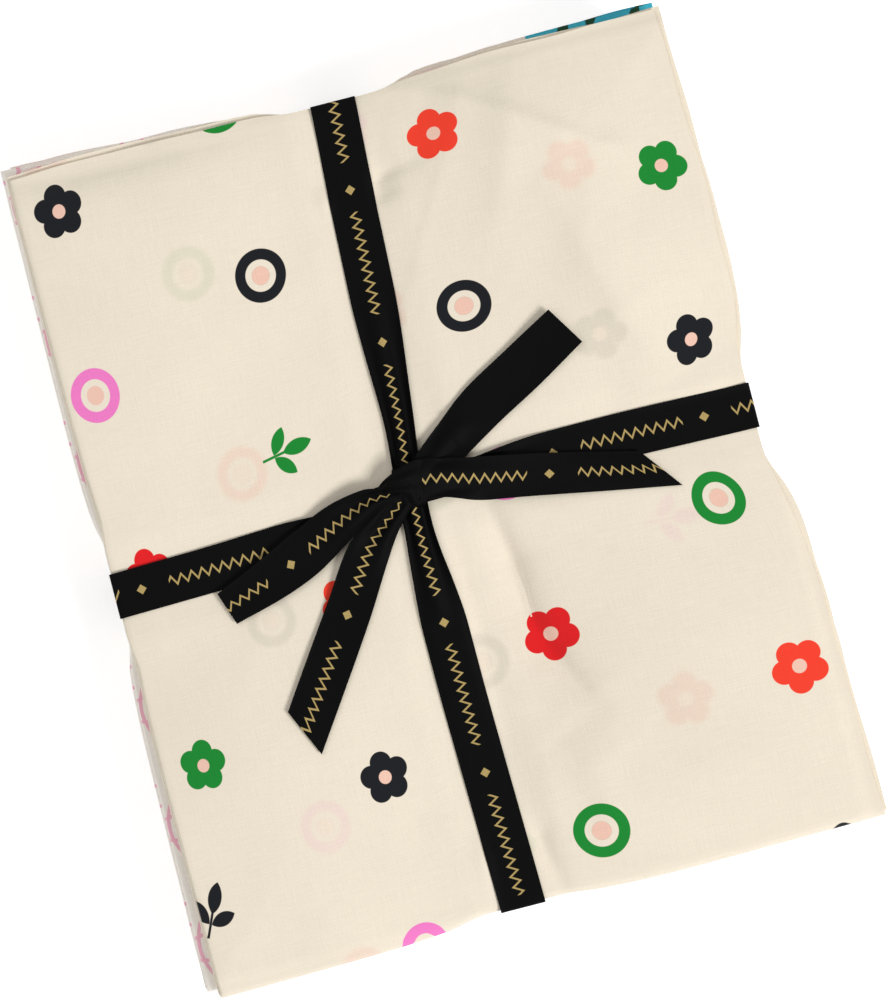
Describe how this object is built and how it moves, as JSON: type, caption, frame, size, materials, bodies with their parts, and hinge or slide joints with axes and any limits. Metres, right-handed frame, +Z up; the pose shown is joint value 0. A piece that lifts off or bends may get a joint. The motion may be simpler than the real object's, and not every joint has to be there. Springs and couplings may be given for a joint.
{
  "type": "fat quarter bundle",
  "caption": "Stack of folded quilting cotton pieces tied crosswise with narrow black ribbon, knotted on top with loose ends, to keep matched cuts together.",
  "frame": {"origin": "on the floor, below the middle of the bundle's bounding box", "axes": "+Z up out of the stack, +Y along the 11 in side towards the open edges, +X along the 9 in side away from the folded edge"},
  "size_m": [0.2358, 0.2872, 0.0427],
  "materials": {
    "cotton_1": "matt plain-weave cotton, sage green",
    "cotton_2": "matt plain-weave cotton, blush pink",
    "cotton_3": "matt plain-weave cotton, cream with pink and red",
    "cotton_4": "matt plain-weave cotton, cream with a turquoise border",
    "cotton_5": "matt plain-weave cotton, cream with fine pink lines",
    "cotton_6": "matt plain-weave cotton, cream with spaced round motifs",
    "ribbon": "black grosgrain ribbon with small gold marks"
  },
  "bodies": {
    "root": {"fat_quarter_1": "cotton_1", "fat_quarter_2": "cotton_2", "fat_quarter_3": "cotton_3", "fat_quarter_4": "cotton_4", "fat_quarter_5": "cotton_5", "fat_quarter_6": "cotton_6", "ribbon_lengthwise": "ribbon", "ribbon_crosswise": "ribbon", "ribbon_knot": "ribbon", "ribbon_tail_1": "ribbon", "ribbon_tail_2": "ribbon", "ribbon_tail_3": "ribbon", "ribbon_tail_4": "ribbon"}
  },
  "joints": []
}
